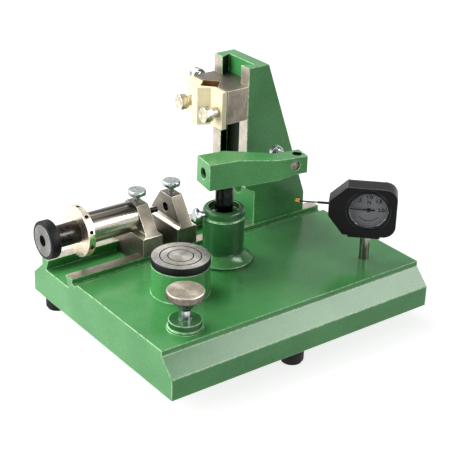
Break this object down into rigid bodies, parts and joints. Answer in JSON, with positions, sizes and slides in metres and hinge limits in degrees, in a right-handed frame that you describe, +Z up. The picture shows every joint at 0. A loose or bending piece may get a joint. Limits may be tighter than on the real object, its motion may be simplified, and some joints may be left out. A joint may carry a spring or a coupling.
{
  "type": "dial gauge tester",
  "caption": "Bench tester for dial gauges: green base with dovetail bed, column clamp, micrometer drive, swivel arm, round table and dial force gauge.",
  "frame": {"origin": "centre of the bounding box's underside, where the feet stand", "axes": "+X along the bed from the drive knob to the column, +Y from the front edge to the bed, +Z up"},
  "size_m": [0.2614, 0.2, 0.1916],
  "materials": {
    "green_enamel": "gloss enamel on cast iron",
    "steel": "ground",
    "zinc": "bright plated",
    "nickel": "satin turned nickel",
    "chrome": "polished",
    "dark_steel": "gunmetal",
    "black_oxide": "knurled, black oxide",
    "bronze": "turned",
    "rubber": "matte",
    "black_paint": "satin black",
    "dial_grey": "satin grey dial",
    "crystal": "clear"
  },
  "bodies": {
    "base": {"base_casting": "green_enamel", "column_casting": "green_enamel", "column_screws": "steel", "post_housing": "green_enamel", "post_screws": "steel", "pocket_cover": "steel", "cover_screws": "steel", "lever_bracket": "steel", "lever_pin": "steel", "table_bush": "bronze"},
    "front_leveller": {"foot_front": "rubber"},
    "left_leveller": {"foot_rear_left": "rubber"},
    "right_leveller": {"foot_rear_right": "rubber"},
    "drive_head": {"drive_block": "steel", "drive_barrel": "chrome", "drive_nut": "bronze"},
    "drive_lock": {"drive_block_screw": "zinc"},
    "spindle": {"drive_spindle": "steel"},
    "drive_handle": {"drive_sleeve": "dark_steel", "drive_knob": "black_oxide", "drive_knob_cap": "steel"},
    "stem_holder": {"stem_block": "steel"},
    "stem_lock": {"stem_block_screw": "zinc"},
    "rod": {"lift_rod": "dark_steel"},
    "rod_lock": {"post_clamp_screw": "zinc"},
    "arm": {"gauge_arm": "green_enamel"},
    "arm_grub": {"arm_rod_screw": "dark_steel"},
    "arm_thumb": {"arm_thumb_screw": "zinc"},
    "cotter": {"arm_cotter": "steel"},
    "column_carriage": {"carriage": "steel"},
    "carriage_lock": {"carriage_lock_screw": "zinc"},
    "jaw": {"clamp_jaw": "steel"},
    "near_screw": {"jaw_screw_near": "zinc"},
    "far_screw": {"jaw_screw_far": "zinc"},
    "adjuster": {"adjusting_knob": "nickel"},
    "pusher": {"thrust_pad": "steel"},
    "lever": {"lift_lever": "steel"},
    "table": {"table_stem": "steel", "round_table": "steel"},
    "force_gauge": {"gauge_stem": "nickel", "gauge_case": "black_paint", "gauge_back": "black_paint", "gauge_back_screws": "steel", "gauge_dial": "dial_grey", "gauge_bezel": "zinc", "gauge_crystal": "crystal", "feeler_pin": "steel"},
    "feeler": {"feeler_lever": "steel", "feeler_rod": "steel", "feeler_tip": "bronze"},
    "pointer": {"gauge_pointer": "black_paint", "pointer_pinion": "bronze"}
  },
  "joints": [
    {"name": "drive_head_slide", "type": "slide", "parent": "base", "child": "drive_head", "axis": [1, 0, 0], "range_m": [-0.03, 0.008]},
    {"name": "drive_lock_turn", "type": "hinge", "parent": "drive_head", "child": "drive_lock", "pos_m": [-0.04383, 0.0618, 0.089], "axis": [0, 0, 1], "range_deg": [-20, 360]},
    {"name": "drive_feed", "type": "slide", "parent": "drive_head", "child": "spindle", "axis": [1, 0, 0], "range_m": [-0.0051, 0.0051]},
    {"name": "drive_turn", "type": "hinge", "parent": "spindle", "child": "drive_handle", "pos_m": [-0.09932, 0.0618, 0.0774], "axis": [1, 0, 0], "range_deg": [-1800, 1800]},
    {"name": "stem_holder_slide", "type": "slide", "parent": "base", "child": "stem_holder", "axis": [1, 0, 0], "range_m": [-0.006, 0.04]},
    {"name": "stem_lock_turn", "type": "hinge", "parent": "stem_holder", "child": "stem_lock", "pos_m": [-0.01043, 0.0618, 0.089], "axis": [0, 0, 1], "range_deg": [-20, 360]},
    {"name": "rod_lift", "type": "slide", "parent": "base", "child": "rod", "axis": [0, 0, 1], "range_m": [-0.0155, 0.025]},
    {"name": "rod_lock_turn", "type": "hinge", "parent": "base", "child": "rod_lock", "pos_m": [0.00178, 0.0052, 0.0906], "axis": [-0.9613, 0.2756, 0], "range_deg": [-20, 360]},
    {"name": "arm_swivel", "type": "hinge", "parent": "rod", "child": "arm", "pos_m": [0.00178, 0.0052, 0.124], "axis": [0, 0, 1], "range_deg": [-150, 20]},
    {"name": "arm_grub_turn", "type": "hinge", "parent": "arm", "child": "arm_grub", "pos_m": [0.00178, 0.0052, 0.1268], "axis": [-0.9848, 0.1736, 0], "range_deg": [-5, 360]},
    {"name": "cotter_slide", "type": "slide", "parent": "arm", "child": "cotter", "axis": [0.1736, 0.9848, 0], "range_m": [-0.0004, 0.0004]},
    {"name": "arm_thumb_turn", "type": "hinge", "parent": "arm", "child": "arm_thumb", "pos_m": [0.05072, -0.00343, 0.1309], "axis": [0.1736, 0.9848, 0], "range_deg": [-181, 181]},
    {"name": "carriage_lift", "type": "slide", "parent": "base", "child": "column_carriage", "axis": [0, 0, 1], "range_m": [-0.044, 0.014]},
    {"name": "carriage_lock_turn", "type": "hinge", "parent": "column_carriage", "child": "carriage_lock", "pos_m": [0.03678, 0.08565, 0.172], "axis": [0, 1, 0], "range_deg": [-20, 360]},
    {"name": "jaw_slide", "type": "slide", "parent": "column_carriage", "child": "jaw", "axis": [-1, 0, 0], "range_m": [-0.0004, 0.004]},
    {"name": "near_screw_turn", "type": "hinge", "parent": "jaw", "child": "near_screw", "pos_m": [0.02167, 0.0448, 0.158], "axis": [-1, 0, 0], "range_deg": [-181, 1801]},
    {"name": "far_screw_turn", "type": "hinge", "parent": "jaw", "child": "far_screw", "pos_m": [0.02167, 0.0788, 0.158], "axis": [-1, 0, 0], "range_deg": [-181, 1801]},
    {"name": "adjust_feed", "type": "slide", "parent": "base", "child": "pusher", "axis": [0, 0, -1], "range_m": [-0.0005, 0.003]},
    {"name": "adjust_turn", "type": "hinge", "parent": "pusher", "child": "adjuster", "pos_m": [-0.08603, -0.068, 0.074], "axis": [0, 0, -1], "range_deg": [-181, 1081]},
    {"name": "lever_swing", "type": "hinge", "parent": "base", "child": "lever", "pos_m": [-0.06881, -0.03938, 0.026], "axis": [0.8569, -0.5156, 0], "range_deg": [-0.87, 5.16]},
    {"name": "table_lift", "type": "slide", "parent": "base", "child": "table", "axis": [0, 0, 1], "range_m": [-0.00033, 0.002]},
    {"name": "front_leveller_turn", "type": "hinge", "parent": "base", "child": "front_leveller", "pos_m": [0.00168, -0.0867, 0.014], "axis": [0, 0, 1], "continuous": true},
    {"name": "left_leveller_turn", "type": "hinge", "parent": "base", "child": "left_leveller", "pos_m": [-0.10602, 0.0867, 0.014], "axis": [0, 0, 1], "continuous": true},
    {"name": "right_leveller_turn", "type": "hinge", "parent": "base", "child": "right_leveller", "pos_m": [0.11737, 0.0867, 0.014], "axis": [0, 0, 1], "continuous": true},
    {"name": "gauge_swivel", "type": "hinge", "parent": "base", "child": "force_gauge", "pos_m": [0.09817, -0.0575, 0.054], "axis": [0, 0, 1], "continuous": true},
    {"name": "feeler_swing", "type": "hinge", "parent": "force_gauge", "child": "feeler", "pos_m": [0.08518, -0.04217, 0.094], "axis": [-0.6947, -0.7193, 0], "range_deg": [0, 9], "stiffness_Nm_per_rad": 0.49},
    {"name": "pointer_turn", "type": "hinge", "parent": "force_gauge", "child": "pointer", "pos_m": [0.09889, -0.05819, 0.094], "axis": [-0.6947, -0.7193, 0], "range_deg": [-180.5, 0.5]}
  ],
  "couplings": [
    {"joint": "drive_feed", "follows": "drive_turn", "m_per_rad": 0.00015915},
    {"joint": "arm_thumb_turn", "follows": "cotter_slide", "rad_per_m": -7854},
    {"joint": "near_screw_turn", "follows": "jaw_slide", "rad_per_m": 7854},
    {"joint": "far_screw_turn", "follows": "jaw_slide", "rad_per_m": 7854},
    {"joint": "adjust_turn", "follows": "table_lift", "rad_per_m": 9424.8},
    {"joint": "adjust_feed", "follows": "table_lift", "ratio": 1.5},
    {"joint": "lever_swing", "follows": "table_lift", "rad_per_m": 44.909},
    {"joint": "pointer_turn", "follows": "feeler_swing", "ratio": -20}
  ]
}
